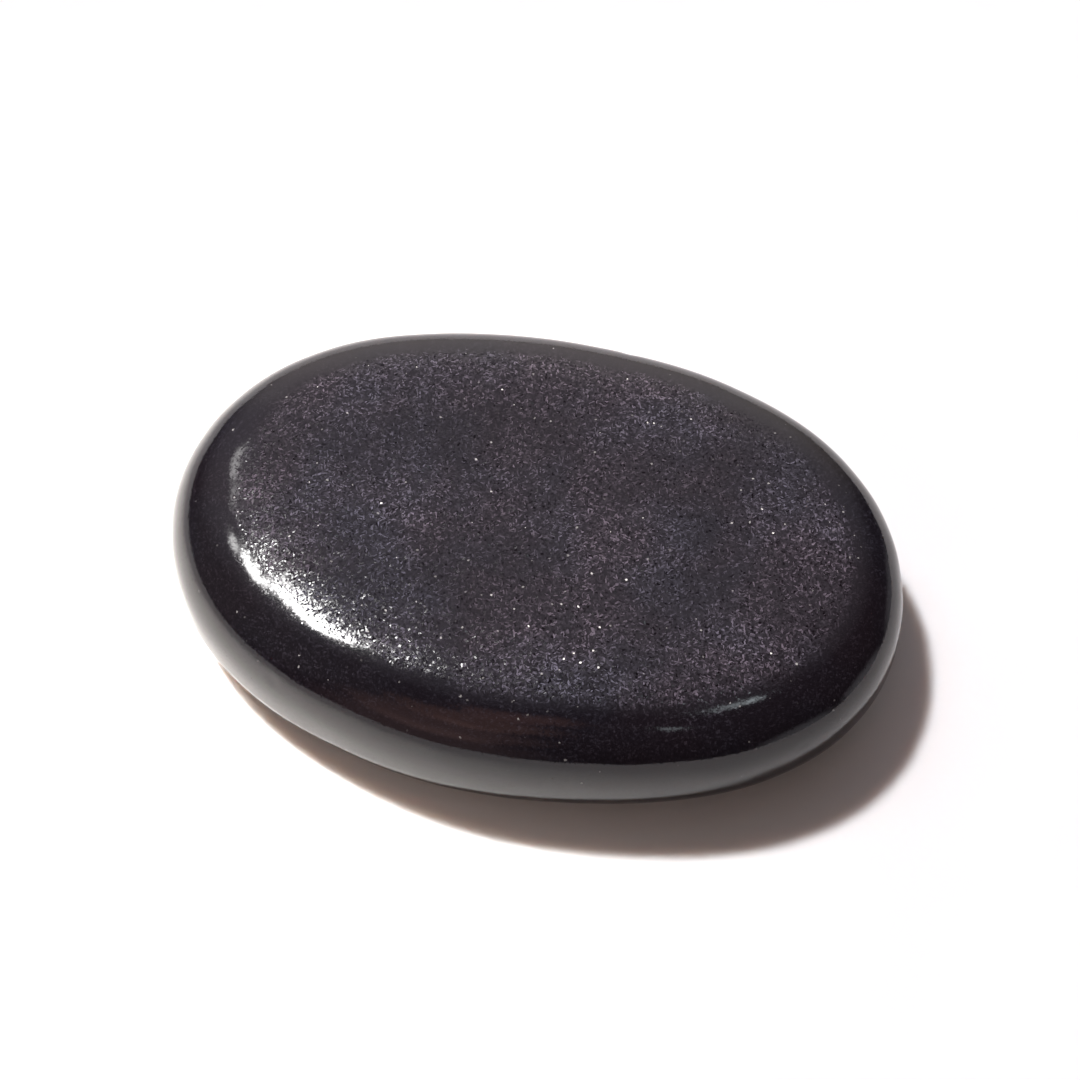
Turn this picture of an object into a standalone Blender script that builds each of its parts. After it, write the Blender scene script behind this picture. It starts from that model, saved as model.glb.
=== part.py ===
"""Basalt massage stone: one solid, polished oval pebble with a nearly flat top and a rounded side wall.

Metres, +Z up, +X along the stone. The origin is on the surface the stone lies on, under the middle of its
outline.
"""

import math

import bmesh
import bpy

OBJECT_NAME = "basalt_massage_stone"
STONE_NAME = "basalt_stone"

# Overall size
LENGTH = 0.0800
WIDTH = 0.0558
TOP_RISE = 0.0094  # from the widest line of the side wall up to the top
BASE_DROP = 0.0068  # from the widest line down to the flat land underneath
WIDEST_LINE_TILT = 0.0012  # climb of the widest line towards +X, and its fall towards -X

# Profile from the middle out to the rim: a higher flatness keeps the face flat for longer before it turns,
# and a higher fullness makes the side wall stand more upright
TOP_FLATNESS = 7.5
TOP_FULLNESS = 2.75
TOP_CROWN = 0.03  # share of the rise that the top face falls by towards the rim
BASE_FLATNESS = 4.4
BASE_FULLNESS = 2.3
LAND_CUT = 0.984  # share of the uncut base's depth at which the land cuts it off flat

# The outline is an oval with gentle waves round it: waves in one turn, cosine share, sine share
OUTLINE_WAVES = (
    (1, -0.003, 0.003),
    (3, 0.000, 0.005),
    (4, -0.010, -0.006),
    (5, -0.001, -0.002),
    (6, -0.005, -0.001),
)

SEGMENTS_ROUND = 64
RINGS = 32

BASALT_COLOUR = (0.045, 0.040, 0.047, 1.0)
BASALT_ROUGHNESS = 0.35


def clear_scene():
    for obj in list(bpy.data.objects):
        bpy.data.objects.remove(obj, do_unlink=True)


def basalt_material():
    material = bpy.data.materials.new("polished_basalt")
    material.use_nodes = True
    shader = material.node_tree.nodes["Principled BSDF"]
    shader.inputs["Base Color"].default_value = BASALT_COLOUR
    shader.inputs["Roughness"].default_value = BASALT_ROUGHNESS
    shader.inputs["Metallic"].default_value = 0.0
    return material


def outline_radius(angle):
    """Distance from the middle to the rim in one direction: the stone's oval, with gentle waves."""
    oval = 1.0 / math.hypot(2.0 * math.cos(angle) / LENGTH, 2.0 * math.sin(angle) / WIDTH)
    waves = sum(c * math.cos(n * angle) + s * math.sin(n * angle) for n, c, s in OUTLINE_WAVES)
    return oval * (1.0 + waves)


def face_profile(share, flatness, fullness):
    """1 over the flat of a face and 0 at the rim, for a share of the way from the middle to the rim."""
    return (1.0 - share**flatness) ** (1.0 / fullness)


def top_height(share, tilt):
    crowned = TOP_RISE * (1.0 - TOP_CROWN * share**2)
    above_line = crowned * face_profile(share, TOP_FLATNESS, TOP_FULLNESS)
    return BASE_DROP + above_line + tilt * share**TOP_FLATNESS


def base_height(share, tilt):
    uncut = BASE_DROP / LAND_CUT
    below_line = uncut * face_profile(share, BASE_FLATNESS, BASE_FULLNESS)
    return max(0.0, BASE_DROP - below_line + tilt * share**BASE_FLATNESS)


def shape_vertex(point):
    """Carries a point of the unit sphere to the stone.

    The point's distance from the axis is the share of the way out to the rim. It is rounded, so that the
    sphere's equator lies exactly on the widest line.
    """
    share = min(1.0, round(math.hypot(point.x, point.y), 5))
    angle = math.atan2(point.y, point.x)
    x = share * outline_radius(angle) * math.cos(angle)
    y = share * outline_radius(angle) * math.sin(angle)
    tilt = WIDEST_LINE_TILT * 2.0 * x / LENGTH
    height = top_height(share, tilt) if point.z > 0.0 else base_height(share, tilt)
    return x, y, height


def fit_outline(mesh):
    """Centres the waved outline on the origin and brings it to the exact length and width."""
    for axis, size in ((0, LENGTH), (1, WIDTH)):
        low = min(v.co[axis] for v in mesh.verts)
        high = max(v.co[axis] for v in mesh.verts)
        for v in mesh.verts:
            v.co[axis] = (v.co[axis] - (low + high) / 2.0) * size / (high - low)


def make_stone(collection):
    mesh = bmesh.new()
    bmesh.ops.create_uvsphere(mesh, u_segments=SEGMENTS_ROUND, v_segments=RINGS, radius=1.0)
    for v in mesh.verts:
        v.co = shape_vertex(v.co)
    fit_outline(mesh)
    bmesh.ops.recalc_face_normals(mesh, faces=mesh.faces)
    data = bpy.data.meshes.new(STONE_NAME)
    mesh.to_mesh(data)
    mesh.free()
    data.shade_smooth()
    data.materials.append(basalt_material())
    stone = bpy.data.objects.new(STONE_NAME, data)
    collection.objects.link(stone)


def main():
    clear_scene()
    collection = bpy.data.collections.new(OBJECT_NAME)
    bpy.context.scene.collection.children.link(collection)
    make_stone(collection)


main()
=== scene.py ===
import math

import bpy
import numpy as np
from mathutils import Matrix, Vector


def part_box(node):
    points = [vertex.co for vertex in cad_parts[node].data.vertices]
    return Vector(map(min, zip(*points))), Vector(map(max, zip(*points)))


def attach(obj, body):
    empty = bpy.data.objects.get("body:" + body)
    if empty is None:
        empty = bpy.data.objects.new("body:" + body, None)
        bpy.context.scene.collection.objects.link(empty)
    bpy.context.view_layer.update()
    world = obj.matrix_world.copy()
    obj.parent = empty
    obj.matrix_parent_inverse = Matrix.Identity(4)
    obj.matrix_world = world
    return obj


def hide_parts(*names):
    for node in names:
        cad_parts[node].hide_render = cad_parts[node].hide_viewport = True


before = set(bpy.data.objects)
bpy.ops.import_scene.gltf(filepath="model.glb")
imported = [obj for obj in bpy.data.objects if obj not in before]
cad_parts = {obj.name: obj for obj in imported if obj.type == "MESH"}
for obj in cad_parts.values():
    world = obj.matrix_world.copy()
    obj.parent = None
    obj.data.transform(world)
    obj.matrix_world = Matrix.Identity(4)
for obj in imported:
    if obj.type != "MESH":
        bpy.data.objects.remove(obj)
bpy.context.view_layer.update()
print("frame loaded:", sorted(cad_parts))


def directionOf(turn, rise):
    # unit vector from a turn about Z, counted from +X, and a rise above the floor, both in degrees
    t, r = math.radians(turn), math.radians(rise)
    return Vector((math.cos(t) * math.cos(r), math.sin(t) * math.cos(r), math.sin(r)))


cameraView = {
    "turn": -74.7,  # where the camera stands round the stone, in degrees from +X
    "rise": 55.0,
    "distance": 0.25,
    "aim": (-0.0011, 0.0079, 0.0),
    "lens": 74.1,
}


def makeCamera(view):
    data = bpy.data.cameras.new("stoneCamera")
    data.lens = view["lens"]
    data.sensor_width = 36.0
    data.clip_start = 0.01
    data.clip_end = 20.0
    camera = bpy.data.objects.new("stoneCamera", data)
    bpy.context.scene.collection.objects.link(camera)
    back = directionOf(view["turn"], view["rise"])
    camera.location = Vector(view["aim"]) + view["distance"] * back
    camera.rotation_euler = back.to_track_quat("Z", "Y").to_euler()
    bpy.context.scene.camera = camera
    print("camera placed")


makeCamera(cameraView)

stoneShape = {
    "widestShare": 0.0068 / 0.0162,  # height of the widest line as a share of the whole
    "lineTilt": 0.0012,  # climb of the widest line towards +X
    "topFlatness": 7.5,
    "topFullness": 2.75,
    "topCrown": 0.03,
    "baseFlatness": 4.4,
    "baseFullness": 2.3,
    "landCut": 0.984,
    # waves round the outline: waves in one turn, cosine share, sine share
    "outlineWaves": (
        (1, -0.003, 0.003),
        (3, 0.000, 0.005),
        (4, -0.010, -0.006),
        (5, -0.001, -0.002),
        (6, -0.005, -0.001),
    ),
    "profileSteps": 4001,  # points at which each half of the profile is measured
    "cells": 127,  # grid cells along each edge of the six patches
}

stoneSkin = {
    "seed": 7,
    "swells": 20,  # plane waves that make the ground faces uneven
    "swellLengths": (0.004, 0.022),
    "swellSlope": 0.0040,  # steepness of each wave
    "dimples": 14,
    "dimpleRadii": (0.0006, 0.0013),
    "dimpleDepth": 0.045,  # as a share of the radius
    "landFade": 0.0015,  # height over which the unevenness comes in above the flat land
}


def spherePatches(cells):
    # six square grids of a cube, each carried to the unit sphere: a grid line lies at the tangent of an even
    # angle, and each point is then brought to length 1
    even = np.tan(np.linspace(-np.pi / 4, np.pi / 4, cells + 1))
    u, v = np.meshgrid(even, even, indexing="ij")
    one = np.ones_like(u)
    sides = ((one, u, v), (-one, -u, v), (-u, one, v), (u, -one, v), (-v, u, one), (v, u, -one))
    points = np.stack([np.stack(side, -1).reshape(-1, 3) for side in sides])
    points /= np.linalg.norm(points, axis=-1, keepdims=True)
    corner = (np.arange(cells)[:, None] * (cells + 1) + np.arange(cells)[None, :]).ravel()
    quad = np.stack([corner, corner + cells + 1, corner + cells + 2, corner + 1], -1)
    quads = np.concatenate([quad + k * (cells + 1) ** 2 for k in range(6)])
    return points.reshape(-1, 3), quads


def weldSeams(points, quads):
    # points that the patches share become one, so that the six grids close into one skin
    keys = np.round(points * 1e6).astype(np.int64)
    unique, first, back = np.unique(keys, axis=0, return_index=True, return_inverse=True)
    return points[first], back.reshape(-1)[quads]


def outlineRadius(angle, shape, length, width):
    # distance to the rim: the ellipse of the stone's length and width, times gentle waves round it
    oval = 1.0 / np.hypot(2.0 * np.cos(angle) / length, 2.0 * np.sin(angle) / width)
    waves = sum(c * np.cos(n * angle) + s * np.sin(n * angle) for n, c, s in shape["outlineWaves"])
    return oval * (1.0 + waves)


def faceProfile(share, flatness, fullness):
    # 1 over the flat of a face, 0 at the rim: (1 - share^flatness)^(1/fullness)
    return np.clip(1.0 - share**flatness, 0.0, 1.0) ** (1.0 / fullness)


def evenShares(shape, height, reach):
    # shares of the way out, each with its place along the profile's own length, from the middle of the
    # underside to the middle of the top, and the place of the rim
    fine = np.sin(np.linspace(0.0, np.pi / 2, shape["profileSteps"])) ** 0.5
    widest = shape["widestShare"] * height
    top = (height - widest) * faceProfile(fine, shape["topFlatness"], shape["topFullness"])
    base = widest * faceProfile(fine, shape["baseFlatness"], shape["baseFullness"])
    share = np.concatenate([fine, fine[::-1][1:]])
    level = np.concatenate([-base, top[::-1][1:]])
    run = np.concatenate([[0.0], np.cumsum(np.hypot(np.diff(share) * reach, np.diff(level)))])
    rim = len(fine) - 1
    return share, run / run[-1], run[rim] / run[-1]


def stonePoints(sphere, shape, length, width, height):
    # latitude on the sphere gives the way along the profile, and longitude the way round the outline
    share, run, rimRun = evenShares(shape, height, (length + width) / 4.0)
    latitude = np.arcsin(np.clip(sphere[:, 2], -1.0, 1.0)) / (np.pi / 2)
    along = np.where(latitude < 0.0, rimRun * (1.0 + latitude), rimRun + (1.0 - rimRun) * latitude)
    out = np.interp(along, run, share)
    angle = np.arctan2(sphere[:, 1], sphere[:, 0])
    radius = out * outlineRadius(angle, shape, length, width)
    x, y = radius * np.cos(angle), radius * np.sin(angle)
    widest = shape["widestShare"] * height
    tilt = shape["lineTilt"] * 2.0 * x / length
    crowned = (height - widest) * (1.0 - shape["topCrown"] * out**2)
    top = widest + crowned * faceProfile(out, shape["topFlatness"], shape["topFullness"])
    top += tilt * out ** shape["topFlatness"]
    uncut = widest / shape["landCut"] * faceProfile(out, shape["baseFlatness"], shape["baseFullness"])
    base = np.maximum(0.0, widest - uncut + tilt * out ** shape["baseFlatness"])
    return np.stack([x, y, np.where(latitude < 0.0, base, top)], -1)


def pointNormals(points, quads):
    # outward direction at each point: the sum of the cross products of the diagonals of the quads that meet
    # there, brought to length 1
    across = points[quads[:, 2]] - points[quads[:, 0]]
    along = points[quads[:, 3]] - points[quads[:, 1]]
    cross = np.cross(across, along)
    normals = np.zeros_like(points)
    for corner in range(4):
        np.add.at(normals, quads[:, corner], cross)
    return normals / np.linalg.norm(normals, axis=1, keepdims=True)


def roughOut(points, normals, skin):
    # height of the skin over the smooth form: a sum of plane waves, each (slope * length / 2 pi) high, less
    # round dimples, each depth * (1 - (distance/radius)^2)^2 deep; it fades out towards the flat land
    rng = np.random.default_rng(skin["seed"])
    lengths = np.geomspace(*skin["swellLengths"], skin["swells"])
    ways = rng.normal(size=(skin["swells"], 3))
    ways /= np.linalg.norm(ways, axis=1, keepdims=True)
    starts = rng.uniform(0.0, 2.0 * np.pi, skin["swells"])
    phases = 2.0 * np.pi * (points @ ways.T) / lengths + starts
    height = np.sin(phases) @ (skin["swellSlope"] * lengths / (2.0 * np.pi))
    raised = np.flatnonzero(points[:, 2] > 2.0 * skin["landFade"])
    centres = points[rng.choice(raised, skin["dimples"], replace=False)]
    radii = rng.uniform(*skin["dimpleRadii"], skin["dimples"])
    away = np.linalg.norm(points[:, None, :] - centres[None, :, :], axis=2) / radii
    height -= np.clip(1.0 - away**2, 0.0, 1.0) ** 2 @ (skin["dimpleDepth"] * radii)
    height *= np.clip(points[:, 2] / skin["landFade"], 0.0, 1.0)
    return points + height[:, None] * normals


def fitToBox(points, low, high):
    # the points' own box is brought to the frame's box
    own = points.min(0), points.max(0)
    return low + (points - own[0]) * (high - low) / (own[1] - own[0])


def makeStone(shape, skin):
    low, high = (np.array(c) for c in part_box("basalt_stone"))
    sphere, quads = spherePatches(shape["cells"])
    sphere, quads = weldSeams(sphere, quads)
    points = stonePoints(sphere, shape, *(high - low))
    points = roughOut(points, pointNormals(points, quads), skin)
    points = fitToBox(points, low, high)
    mesh = bpy.data.meshes.new("polishedStone")
    mesh.from_pydata(points.tolist(), [], quads.tolist())
    mesh.update()
    mesh.shade_smooth()
    stone = bpy.data.objects.new("polishedStone", mesh)
    bpy.context.scene.collection.objects.link(stone)
    print("stone shaped:", len(points), "points,", 2 * len(quads), "triangles")
    return stone


stone = makeStone(stoneShape, stoneSkin)


def put(tree, kind, inputs={}, **settings):
    # one node; an input given another node's socket is linked to it, and any other input is set to its value
    node = tree.nodes.new("ShaderNode" + kind)
    for name, value in settings.items():
        setattr(node, name, value)
    for name, value in inputs.items():
        if isinstance(value, bpy.types.NodeSocket):
            tree.links.new(value, node.inputs[name])
        else:
            node.inputs[name].default_value = value
    return node


def sums(tree, operation, *values):
    # one number worked out from up to three others
    return put(tree, "Math", dict(enumerate(values)), operation=operation).outputs[0]


def vectors(tree, operation, *values):
    return put(tree, "VectorMath", dict(enumerate(values)), operation=operation).outputs[0]


def between(tree, value, fromLow, fromHigh, toLow=0.0, toHigh=1.0, smooth=False):
    # the value's place between two limits, carried to two others
    names = {"Value": value, "From Min": fromLow, "From Max": fromHigh, "To Min": toLow, "To Max": toHigh}
    kind = "SMOOTHSTEP" if smooth else "LINEAR"
    return put(tree, "MapRange", names, interpolation_type=kind).outputs[0]


def mixed(tree, share, first, second):
    # first + share * (second - first), on vectors or colours
    return vectors(tree, "MULTIPLY_ADD", vectors(tree, "SUBTRACT", second, first), share, first)


basaltLook = {
    "ground": (0.0030, 0.0021, 0.0031),  # the fine dark mass between the crystals
    "crystal": (0.059, 0.051, 0.067),  # the palest of the common crystals
    "groundShare": 0.3,  # of a lath's paleness, for a crystal of the ground mass
    "coolTint": (0.94, 1.02, 1.05),
    "warmTint": (1.07, 0.98, 0.96),
    "tintPatch": 0.011,  # width of the patches of bluer and browner stone
    "tintSlice": 3.0,  # which slice of the noise the patches come from
    "tintLimits": (0.4, 0.6),
    "fleck": (0.45, 0.43, 0.42),  # the rare white ones
    "grain": 0.00020,  # size of a crystal of the ground mass
    "lathWidth": 0.00014,
    "lathStretch": 3.0,
    "raggedness": 0.00022,  # how far the crystals' outlines wander
    "raggedSize": 2.0,  # of the wandering, in lath widths
    "lathTurns": ((0.15, 0.10, 0.2), (-0.10, 0.20, 1.25), (0.20, -0.15, 2.3)),
    "lathShare": 0.13,  # of the cells of each of the three directions
    "fleckSpacing": 0.0009,
    "fleckRadii": (0.06, 0.15),  # as shares of the spacing
    "fleckShare": 0.32,
    "fleckLimits": (0.4, 0.6),  # of the cloud, between which the flecks come in
    "edgeFlecks": 0.3,  # how much of them shows on the shoulder and side; the cut is painted shade
    "cloud": 0.014,  # width of the patches of lighter and darker stone
    "cloudLimits": (0.35, 0.65),
    "cloudTone": (0.35, 1.3),
    "faceLevel": (0.968, 0.992),  # upward part of the normal where the side ends, and where a face begins
    "faceTilt": 0.30,  # how far crystals stand out of level on the flat faces
    "poreTilt": 0.95,  # and how far the few that line a pore do
    "edgeTilt": 0.055,  # and on the handled, polished shoulder and side
    "faceRoughness": (0.13, 0.21),
    "edgeRoughness": (0.085, 0.11),
    "paintedShadeEdgeTone": 0.14,  # how much of the crystals' paleness is kept on the shoulder and side; the cut is painted shade
    "scratchWidth": 0.00035,
    "scratchLength": 0.012,
    "scratchDepth": 0.0000016,
    "scratchTurn": (0.1, 0.2, 0.5),
    "scratchCrest": (0.66, 0.72),  # of the noise, between which a scratch comes in
    "ior": 1.5,
}


def flatFaces(tree, look):
    # 1 on the flat top and land, 0 on the shoulder and side, from how level the surface lies
    normal = put(tree, "NewGeometry").outputs["Normal"]
    upright = sums(tree, "ABSOLUTE", put(tree, "SeparateXYZ", {"Vector": normal}).outputs["Z"])
    return normal, between(tree, upright, *look["faceLevel"], smooth=True)


def crystalCells(tree, coords, look):
    # each crystal's own three random numbers, and whether it is a lath; laths lie over the ground mass
    ground = put(tree, "TexVoronoi", {"Vector": coords, "Scale": 1.0 / look["grain"]}).outputs["Color"]
    isLath = None
    random = ground
    for turn in look["lathTurns"]:
        turned = put(tree, "Mapping", {"Vector": coords, "Rotation": turn}).outputs[0]
        squeezed = vectors(tree, "MULTIPLY", turned, (1.0 / look["lathStretch"], 1.0, 1.0))
        cell = put(tree, "TexVoronoi", {"Vector": squeezed, "Scale": 1.0 / look["lathWidth"]})
        apart = put(tree, "SeparateXYZ", {"Vector": cell.outputs["Color"]}).outputs
        chosen = sums(tree, "GREATER_THAN", apart["X"], 1.0 - look["lathShare"])
        spread = between(tree, apart["X"], 1.0 - look["lathShare"], 1.0)
        own = put(tree, "CombineXYZ", {"X": spread, "Y": apart["Y"], "Z": apart["Z"]}).outputs[0]
        random = mixed(tree, chosen, random, own)
        isLath = chosen if isLath is None else sums(tree, "MAXIMUM", isLath, chosen)
    return random, isLath


def fleckSpots(tree, coords, look):
    # small round spots in a few of the cells of a coarse pattern
    cells = put(tree, "TexVoronoi", {"Vector": coords, "Scale": 1.0 / look["fleckSpacing"]})
    own = put(tree, "SeparateXYZ", {"Vector": cells.outputs["Color"]}).outputs
    chosen = sums(tree, "GREATER_THAN", own["X"], 1.0 - look["fleckShare"])
    radius = between(tree, own["Z"], 0.0, 1.0, *look["fleckRadii"])
    near = sums(tree, "LESS_THAN", cells.outputs["Distance"], radius)
    bright = sums(tree, "POWER", own["Y"], 2.0)
    return sums(tree, "MULTIPLY", sums(tree, "MULTIPLY", chosen, near), bright)


def scratchLines(tree, coords, look):
    # the crests of a noise that is drawn out along one direction
    turned = put(tree, "Mapping", {"Vector": coords, "Rotation": look["scratchTurn"]}).outputs[0]
    drawn = vectors(tree, "MULTIPLY", turned, (look["scratchWidth"] / look["scratchLength"], 1.0, 1.0))
    noise = put(tree, "TexNoise", {"Vector": drawn, "Scale": 1.0 / look["scratchWidth"], "Detail": 1.0})
    return between(tree, noise.outputs[0], *look["scratchCrest"])


def basaltMaterial(look):
    material = bpy.data.materials.new("polishedBasalt")
    material.use_nodes = True
    tree = material.node_tree
    shader = tree.nodes["Principled BSDF"]
    shader.inputs["Metallic"].default_value = 0.0
    shader.inputs["IOR"].default_value = look["ior"]
    coords = put(tree, "TexCoord").outputs["Object"]
    normal, flat = flatFaces(tree, look)
    raggedScale = 1.0 / (look["raggedSize"] * look["lathWidth"])
    ragged = put(tree, "TexNoise", {"Vector": coords, "Scale": raggedScale, "Detail": 1.0})
    wander = vectors(tree, "SUBTRACT", ragged.outputs["Color"], (0.5, 0.5, 0.5))
    wandering = vectors(tree, "MULTIPLY_ADD", wander, (look["raggedness"],) * 3, coords)
    random, isLath = crystalCells(tree, wandering, look)
    parts = put(tree, "SeparateXYZ", {"Vector": random})
    cloud = put(tree, "TexNoise", {"Vector": coords, "Scale": 1.0 / look["cloud"], "Detail": 3.0}).outputs[0]

    # colour: ground mass, crystals by their own paleness, then the white flecks, with painted shade on the
    # shoulder and side
    common = sums(tree, "MULTIPLY", sums(tree, "POWER", parts.outputs["Y"], 3.0), look["groundShare"])
    lath = sums(tree, "POWER", parts.outputs["Y"], 2.0)
    paleness = put(tree, "Mix", {"Factor": isLath, "A": common, "B": lath}).outputs[0]
    clouded = between(tree, cloud, *look["cloudLimits"], *look["cloudTone"])
    paleness = sums(tree, "MULTIPLY", paleness, clouded)
    # painted shade: the crystals' paleness is cut on the shoulder and side, by how upright the surface lies
    paleness = sums(tree, "MULTIPLY", paleness, between(tree, flat, 0.0, 1.0, look["paintedShadeEdgeTone"], 1.0))
    sliced = {"Vector": coords, "Scale": 1.0 / look["tintPatch"], "Detail": 2.0, "W": look["tintSlice"]}
    patch = put(tree, "TexNoise", sliced, noise_dimensions="4D").outputs[0]
    tint = mixed(tree, between(tree, patch, *look["tintLimits"]), look["coolTint"], look["warmTint"])
    colour = vectors(tree, "MULTIPLY", tint, mixed(tree, paleness, look["ground"], look["crystal"]))
    # painted shade on the flecks too: they are dimmed on the shoulder and side, by how upright the surface
    # lies
    paintedShadeOnFlecks = between(tree, flat, 0.0, 1.0, look["edgeFlecks"], 1.0)
    fleck = sums(tree, "MULTIPLY", fleckSpots(tree, wandering, look), paintedShadeOnFlecks)
    gathered = between(tree, cloud, *look["fleckLimits"], *look["cloudTone"])
    fleck = sums(tree, "MULTIPLY", fleck, gathered)
    colour = mixed(tree, fleck, colour, look["fleck"])
    tree.links.new(colour, shader.inputs["Base Color"])

    # polish: each crystal has its own, and the shoulder is smoother than the faces
    own = parts.outputs["Z"]
    edge = between(tree, own, 0.0, 1.0, *look["edgeRoughness"])
    face = between(tree, own, 0.0, 1.0, *look["faceRoughness"])
    rough = put(tree, "Mix", {"Factor": flat, "A": edge, "B": face}).outputs[0]
    tree.links.new(rough, shader.inputs["Roughness"])

    # relief: each crystal lies a little out of level, and hairline scratches cross the faces
    tilt = between(tree, flat, 0.0, 1.0, look["edgeTilt"], look["faceTilt"])
    tilt = sums(tree, "MULTIPLY", tilt, sums(tree, "POWER", own, 1.5))
    pore = sums(tree, "MULTIPLY", sums(tree, "POWER", parts.outputs["X"], 9.0), look["poreTilt"])
    tilt = sums(tree, "MULTIPLY_ADD", pore, flat, tilt)
    leaning = vectors(tree, "MULTIPLY_ADD", vectors(tree, "SUBTRACT", random, (0.5, 0.5, 0.5)), tilt, normal)
    leaning = vectors(tree, "NORMALIZE", leaning)
    scratch = scratchLines(tree, coords, look)
    cut = {"Height": scratch, "Normal": leaning, "Distance": look["scratchDepth"]}
    bump = put(tree, "Bump", cut, invert=True)
    tree.links.new(bump.outputs[0], shader.inputs["Normal"])
    print("basalt made")
    return material


stone.data.materials.append(basaltMaterial(basaltLook))
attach(stone, "root")
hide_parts("basalt_stone")

# the board's colour holds a painted pool of light: paler round the stone, darker further out
floorLook = {
    "size": 6.0,
    "near": (0.78, 0.755, 0.735),  # painted pool of light: the board is paler round the stone
    "far": (0.335, 0.322, 0.332),
    "middle": (-0.042, -0.014, 0.0),  # of the painted pool of light, its palest part
    "paintedPoolReach": 0.015,
    "paintedPoolFadeReach": 0.090,
    "scatter": 0.0022,  # how far light travels inside the board, in red
    "scatterColour": (1.0, 0.80, 0.66),
    "roughness": 0.6,
}


def makeFloor(look):
    half = look["size"] / 2.0
    corners = [(-half, -half, 0.0), (half, -half, 0.0), (half, half, 0.0), (-half, half, 0.0)]
    mesh = bpy.data.meshes.new("paleFloor")
    mesh.from_pydata(corners, [], [(0, 1, 2, 3)])
    floor = bpy.data.objects.new("paleFloor", mesh)
    bpy.context.scene.collection.objects.link(floor)
    material = bpy.data.materials.new("paleBoard")
    material.use_nodes = True
    shader = material.node_tree.nodes["Principled BSDF"]
    shader.subsurface_method = "BURLEY"
    tree = material.node_tree
    place = put(tree, "TexCoord").outputs["Object"]
    # painted pool of light: the board's colour goes from pale round the stone to darker further out
    away = put(tree, "VectorMath", {0: place, 1: look["middle"]}, operation="DISTANCE").outputs["Value"]
    share = between(tree, away, look["paintedPoolReach"], look["paintedPoolFadeReach"], smooth=True)
    tree.links.new(mixed(tree, share, look["near"], look["far"]), shader.inputs["Base Color"])
    shader.inputs["Roughness"].default_value = look["roughness"]
    shader.inputs["Specular IOR Level"].default_value = 0.0
    shader.inputs["Subsurface Weight"].default_value = 1.0
    shader.inputs["Subsurface Radius"].default_value = look["scatterColour"]
    shader.inputs["Subsurface Scale"].default_value = look["scatter"]
    mesh.materials.append(material)
    print("floor laid")


makeFloor(floorLook)

# both lamps light the floor and the stone's own colour; the polish mirrors the air and the floor, but not
# the lamps
keyLight = {"turn": 157.0, "rise": 63.0, "width": 4.5, "strength": 7.6, "colour": (1.0, 0.99, 0.97)}
fillLight = {"turn": 0.0, "rise": 90.0, "width": 180.0, "strength": 0.84, "colour": (1.0, 0.89, 0.78)}
studioAir = {
    "ambient": (0.040, 0.034, 0.040),
    # soft round patches of light: turn, rise, full within, gone by (degrees), colour, strength
    "glows": (
        (114.0, 44.0, 14.0, 54.0, (0.98, 0.92, 1.06), 0.54),
        (102.0, 8.0, 14.0, 38.0, (1.00, 0.92, 0.82), 0.50),
        (190.0, 32.0, 10.0, 44.0, (0.95, 0.95, 1.00), 0.14),
        (-104.0, 73.0, 3.0, 9.0, (1.00, 0.48, 0.38), 0.48),
        (-106.0, 56.0, 7.0, 14.0, (1.00, 0.50, 0.38), 0.50),
        (-107.0, 34.0, 10.0, 21.0, (1.00, 0.54, 0.46), 0.42),
        (-107.0, 10.0, 10.0, 26.0, (1.00, 0.60, 0.56), 0.30),
        (157.5, 63.0, 2.6, 5.6, (1.00, 0.99, 0.98), 80.0),
        (162.0, 54.0, 1.2, 4.0, (1.00, 0.99, 0.98), 46.0),
        (161.0, 46.0, 0.8, 3.6, (1.00, 0.99, 0.98), 14.0),
        (145.0, 42.0, 0.8, 3.0, (1.00, 0.98, 0.98), 4.5),
        (141.0, 36.0, 0.8, 3.2, (1.00, 0.98, 0.98), 6.0),
        (18.0, 73.5, 0.8, 2.4, (0.85, 0.95, 1.00), 7.0),
        (14.0, 77.0, 0.6, 2.2, (0.85, 0.95, 1.00), 4.0),
        (-49.0, 70.5, 0.6, 2.4, (0.85, 0.95, 1.00), 3.0),
        (-26.0, 0.0, 4.0, 18.0, (0.95, 0.93, 1.00), 0.55),
        (8.0, 0.0, 4.0, 18.0, (0.95, 0.93, 1.00), 0.60),
        (40.0, 0.0, 4.0, 16.0, (0.95, 0.93, 1.00), 0.40),
    ),
}


def makeLamp(name, lamp):
    data = bpy.data.lights.new(name, "SUN")
    data.angle = math.radians(lamp["width"])
    data.energy = lamp["strength"]
    data.color = lamp["colour"]
    light = bpy.data.objects.new(name, data)
    light.visible_glossy = False
    bpy.context.scene.collection.objects.link(light)
    towards = directionOf(lamp["turn"], lamp["rise"])
    light.location = towards
    light.rotation_euler = towards.to_track_quat("Z", "Y").to_euler()


def makeAir(air):
    # each glow goes by the cosine of the angle to its middle, through a smooth step
    world = bpy.data.worlds.new("studioAir")
    world.use_nodes = True
    bpy.context.scene.world = world
    tree = world.node_tree
    sight = put(tree, "TexCoord").outputs["Generated"]
    total = put(tree, "CombineXYZ", dict(zip("XYZ", air["ambient"]))).outputs[0]
    for turn, rise, full, gone, colour, strength in air["glows"]:
        middle = put(tree, "VectorMath", {0: sight, 1: directionOf(turn, rise)}, operation="DOT_PRODUCT")
        limits = (math.cos(math.radians(gone)), math.cos(math.radians(full)))
        glow = between(tree, middle.outputs["Value"], *limits, smooth=True)
        total = vectors(tree, "MULTIPLY_ADD", glow, Vector(colour) * strength, total)
    # the camera itself sees plain white behind the floor
    seen = put(tree, "LightPath").outputs["Is Camera Ray"]
    plain = mixed(tree, seen, total, (1.0, 1.0, 1.0))
    tree.links.new(plain, tree.nodes["Background"].inputs["Color"])
    print("light set")


makeLamp("keyLight", keyLight)
makeLamp("fillLight", fillLight)
makeAir(studioAir)
bpy.context.scene.view_settings.view_transform = "Standard"
